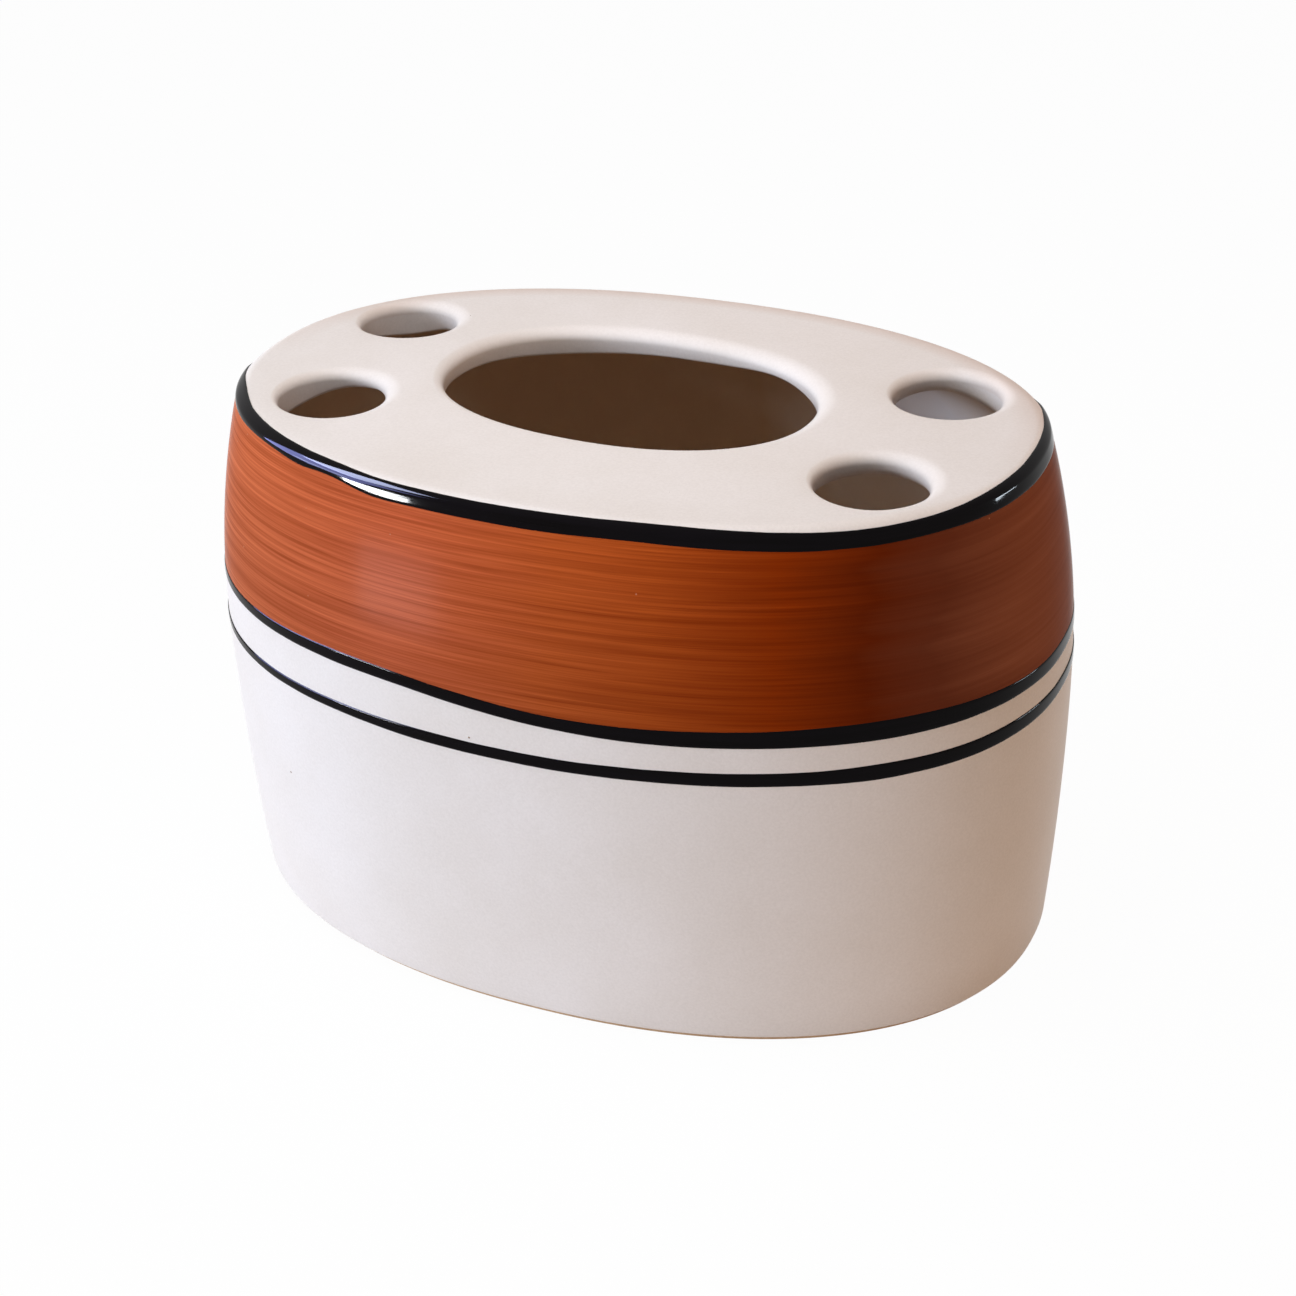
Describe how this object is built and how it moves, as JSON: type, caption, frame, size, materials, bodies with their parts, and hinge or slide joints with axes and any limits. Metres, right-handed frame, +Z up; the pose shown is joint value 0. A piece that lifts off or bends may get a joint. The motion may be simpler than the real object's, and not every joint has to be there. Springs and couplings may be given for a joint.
{
  "type": "toothbrush holder",
  "caption": "Oval barrel-shaped glazed ceramic holder whose pierced deck has round brush holes and a central mouth, with a broad brown band and black glaze lines.",
  "frame": {"origin": "middle of the foot, on the surface that the holder stands on", "axes": "+Z up, +X along the holder's length, +Y from front to back"},
  "size_m": [0.1306, 0.0896, 0.0807],
  "materials": {
    "cream_glaze": "satin cream glaze",
    "liner_glaze": "satin buff glaze in the cavity",
    "brown_glaze": "gloss brushed brown glaze",
    "black_glaze": "gloss black glaze",
    "bare_clay": "unglazed tan clay"
  },
  "bodies": {
    "root": {"body_wall": "cream_glaze", "top_deck": "cream_glaze", "base_floor": "liner_glaze", "foot_ring": "bare_clay", "brown_band": "brown_glaze", "rim_line": "black_glaze", "band_line": "black_glaze", "thin_line": "black_glaze"}
  },
  "joints": []
}
